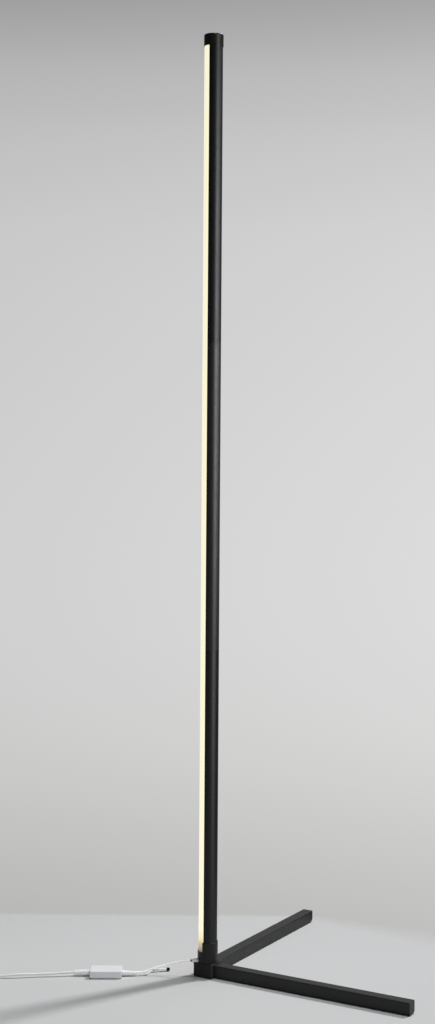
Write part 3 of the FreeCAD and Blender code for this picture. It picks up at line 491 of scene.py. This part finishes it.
lens = Mat("black_infrared_lens")
lens.colour(lens.mix(lens.noise(200.0), (0.004, 0.003, 0.0035), (0.007, 0.0055, 0.006)))
lens.rough(lens.span(lens.noise(500.0, 3.0), 0.3, 0.7, 0.20, 0.28))
lens.const(IOR=1.28)
dress(lens, "receiver_dome")


# ------------------------------------------------------------------ floor
def floor_plane():
    size = 9.0
    me = bpy.data.meshes.new("studio_floor")
    v = [(-size, -size, 0), (size, -size, 0), (size, size, 0), (-size, size, 0)]
    me.from_pydata(v, [], [(0, 1, 2, 3)])
    o = collection_link(bpy.data.objects.new("studio_floor", me))
    m = Mat("studio_floor_paper")
    x, y, z = m.xyz()
    away = m.math("MULTIPLY_ADD", x, FORWARD.x, m.math("MULTIPLY", y, FORWARD.y))
    right = m.math("MULTIPLY_ADD", x, RIGHT.x, m.math("MULTIPLY", y, RIGHT.y))
    paper = m.mix(m.span(m.noise(3.0, 3.0, 0.5), 0.3, 0.7), (0.635, 0.64, 0.645), (0.645, 0.65, 0.655))
    # painted shade: the floor colour is made darker towards the sheet's far edge and to the right, standing in for the
    # light falling off there
    painted_falloff_shade = m.math("ADD", m.span(away, 0.05, 0.28, 0.0, 0.45), m.span(right, 0.10, 0.36, 0.0, 0.30))
    m.colour(m.mix(painted_falloff_shade, paper, (0.576, 0.58, 0.585)))
    m.rough(m.span(m.noise(30.0, 3.0, 0.5), 0.3, 0.7, 0.62, 0.70))
    m.const(IOR=1.3)
    # the far edge of the sheet is straight on the left, and runs towards the view and gets softer on the right
    shift = m.math("MULTIPLY", m.math("MAXIMUM", m.math("SUBTRACT", right, 0.16), 0.0), 0.6)
    width = m.math("MULTIPLY_ADD", m.math("MAXIMUM", m.math("SUBTRACT", right, 0.13), 0.0), 0.55, 0.024)
    short = m.math("SUBTRACT", m.math("SUBTRACT", 0.316, shift), away)
    t = m.math("ADD", m.math("DIVIDE", short, width), 0.5)
    m.put(m.span(t, 0.0, 1.0, 0.0, 1.0, smooth=True), m.p.inputs["Alpha"])
    me.materials.append(m.m)
    o.location = (0, 0, -0.0001)
    return o


floor_plane()


# ------------------------------------------------------------------ light
def area(name, place, target, w, h, power, colour=(1, 1, 1), spread=180.0):
    d = bpy.data.lights.new(name, "AREA")
    d.shape = "RECTANGLE"
    d.size, d.size_y = w, h
    d.energy = power
    d.color = colour
    d.spread = math.radians(spread)
    o = collection_link(bpy.data.objects.new(name, d))
    direction = (target - place).normalized()
    o.rotation_mode = "QUATERNION"
    o.rotation_quaternion = direction.to_track_quat("-Z", "Y")
    o.location = place
    o.visible_camera = False
    return o


area("key_right_back", at(0.8365 * 3.4, -0.548 * 3.4, 4.75), at(0, 0, 0.2), 0.52, 0.52, 196.0, (1.0, 0.995, 0.99))
side = area("side_right", at(0.835 * 1.9, 0.55 * 1.9, 1.1), at(0, 0, 0.95), 1.2, 1.3, 10.0, (0.97, 0.985, 1.0), spread=80.0)
area("overhead", at(0.17, -0.11, 3.3), at(0, 0, 0), 0.50, 0.50, 39.0, (0.995, 1.0, 1.005))

# the lights from the side are flagged: each reaches only some of the pieces, and none the floor
low_side = area("side_right_low", at(0.79 * 1.9, 0.613 * 1.9, 0.16), at(0, 0, 0.2), 1.3, 0.4, 1.5, (0.97, 0.985, 1.0), spread=80.0)
rim = area("rim_right", at(0.995 * 1.9, 0.02 * 1.9, 1.2), at(0, 0, 1.1), 0.45, 1.1, 1.7, (0.97, 0.985, 1.0), spread=80.0)
front = area("front_white", at(0.4, 2.2, 1.2), at(-0.15, 0, 0), 1.0, 1.0, 16.5, (0.985, 0.99, 1.0))
lead_front = area("front_lamp_lead", at(0.2, 1.7, 1.3), at(-0.07, 0, 0.02), 0.8, 0.8, 9.5, (0.99, 0.995, 1.0))
input_front = area("front_input_lead", at(0.1, 2.0, 0.8), at(-0.25, 0, 0), 0.9, 0.9, 5.5, (0.985, 0.99, 1.0))
PALE = ["controller_lower_shell", "controller_upper_shell", "input_strain_relief", "output_strain_relief", "receiver_body",
        "receiver_sleeve", "receiver_dome", "receiver_leads", "input_plug_body"]


def flag(light, name, objects):
    c = bpy.data.collections.new(name)
    for o in objects:
        c.objects.link(o)
    light.light_linking.receiver_collection = c


flag(side, "lit_by_side_light", [nodes[n] for n in nodes if n not in PALE])
flag(low_side, "lit_by_low_side_light", [nodes["lower_pole_section"]])
flag(rim, "lit_by_rim_light", [nodes["upper_pole_section"], nodes["middle_pole_section"]])
flag(front, "lit_by_front_light", [nodes[n] for n in PALE] + [lamp_lead])
flag(lead_front, "lit_by_lead_light", [lamp_lead])
flag(input_front, "lit_by_input_light", [input_lead])

# the room: a plain grey gradient behind, seen by the camera, and a dim room with a pale far wall for everything else
world = bpy.data.worlds.new("studio_room")
scene.world = world
world.use_nodes = True
wn = world.node_tree
wn.nodes.clear()


def wnode(kind, **props):
    n = wn.nodes.new(kind)
    for k, v in props.items():
        setattr(n, k, v)
    return n


def grey(v):
    v /= 255.0
    return ((v + 0.055) / 1.055) ** 2.4


w_out = wnode("ShaderNodeOutputWorld")
tc = wnode("ShaderNodeTexCoord")
sep = wnode("ShaderNodeSeparateXYZ")
wn.links.new(tc.outputs["Generated"], sep.inputs[0])
mr = wnode("ShaderNodeMapRange")
mr.inputs["From Min"].default_value = -0.30
mr.inputs["From Max"].default_value = 0.30
wn.links.new(sep.outputs[2], mr.inputs["Value"])

# darker towards the ceiling and, less, towards the floor
ramp = wnode("ShaderNodeValToRGB")
ramp.color_ramp.interpolation = "CARDINAL"
el = ramp.color_ramp.elements
stops = [(-0.30, 183), (-0.20, 204), (-0.11, 213), (0.04, 211), (0.15, 205), (0.21, 194), (0.25, 180), (0.30, 154)]
while len(el) > 1:
    el.remove(el[-1])
for i, (height, v) in enumerate(stops):
    g = grey(v)
    col = (g, g, g * (0.985 if height < -0.19 else 1.0), 1.0)
    e = el[0] if i == 0 else el.new((height + 0.30) / 0.60)
    e.position = (height + 0.30) / 0.60
    e.color = col
wn.links.new(mr.outputs["Result"], ramp.inputs["Fac"])

# a little brighter towards the right, where the lamps of the studio stand
rightward = wnode("ShaderNodeVectorMath", operation="DOT_PRODUCT")
rightward.inputs[1].default_value = tuple(RIGHT)
wn.links.new(tc.outputs["Generated"], rightward.inputs[0])
tilt = wnode("ShaderNodeMath", operation="MULTIPLY_ADD")
wn.links.new(rightward.outputs["Value"], tilt.inputs[0])
tilt.inputs[1].default_value = 0.42
tilt.inputs[2].default_value = 1.0
bg_seen = wnode("ShaderNodeBackground")
wn.links.new(ramp.outputs["Color"], bg_seen.inputs["Color"])
wn.links.new(tilt.outputs[0], bg_seen.inputs["Strength"])

# for light and reflections: a pale wall on the far side, dark towards the near side
dot = wnode("ShaderNodeVectorMath", operation="DOT_PRODUCT")
dot.inputs[1].default_value = tuple(FORWARD)
wn.links.new(tc.outputs["Generated"], dot.inputs[0])
wall = wnode("ShaderNodeMapRange", interpolation_type="SMOOTHSTEP")
wall.inputs["From Min"].default_value = 0.55
wall.inputs["From Max"].default_value = 1.0
wall.inputs["To Min"].default_value = 0.075
wall.inputs["To Max"].default_value = 0.46
wn.links.new(dot.outputs["Value"], wall.inputs["Value"])
lp = wnode("ShaderNodeLightPath")
either = wnode("ShaderNodeMix", data_type="FLOAT")
wn.links.new(lp.outputs["Is Glossy Ray"], either.inputs["Factor"])
either.inputs["A"].default_value = 0.11
wn.links.new(wall.outputs["Result"], either.inputs["B"])
bg_light = wnode("ShaderNodeBackground")
bg_light.inputs["Color"].default_value = (0.97, 0.985, 1.0, 1.0)
wn.links.new(either.outputs["Result"], bg_light.inputs["Strength"])
mixw = wnode("ShaderNodeMixShader")
wn.links.new(lp.outputs["Is Camera Ray"], mixw.inputs["Fac"])
wn.links.new(bg_light.outputs[0], mixw.inputs[1])
wn.links.new(bg_seen.outputs[0], mixw.inputs[2])
wn.links.new(mixw.outputs[0], w_out.inputs["Surface"])

scene.view_settings.view_transform = "Standard"
scene.view_settings.look = "None"
scene.view_settings.exposure = 0.0
scene.view_settings.gamma = 1.0
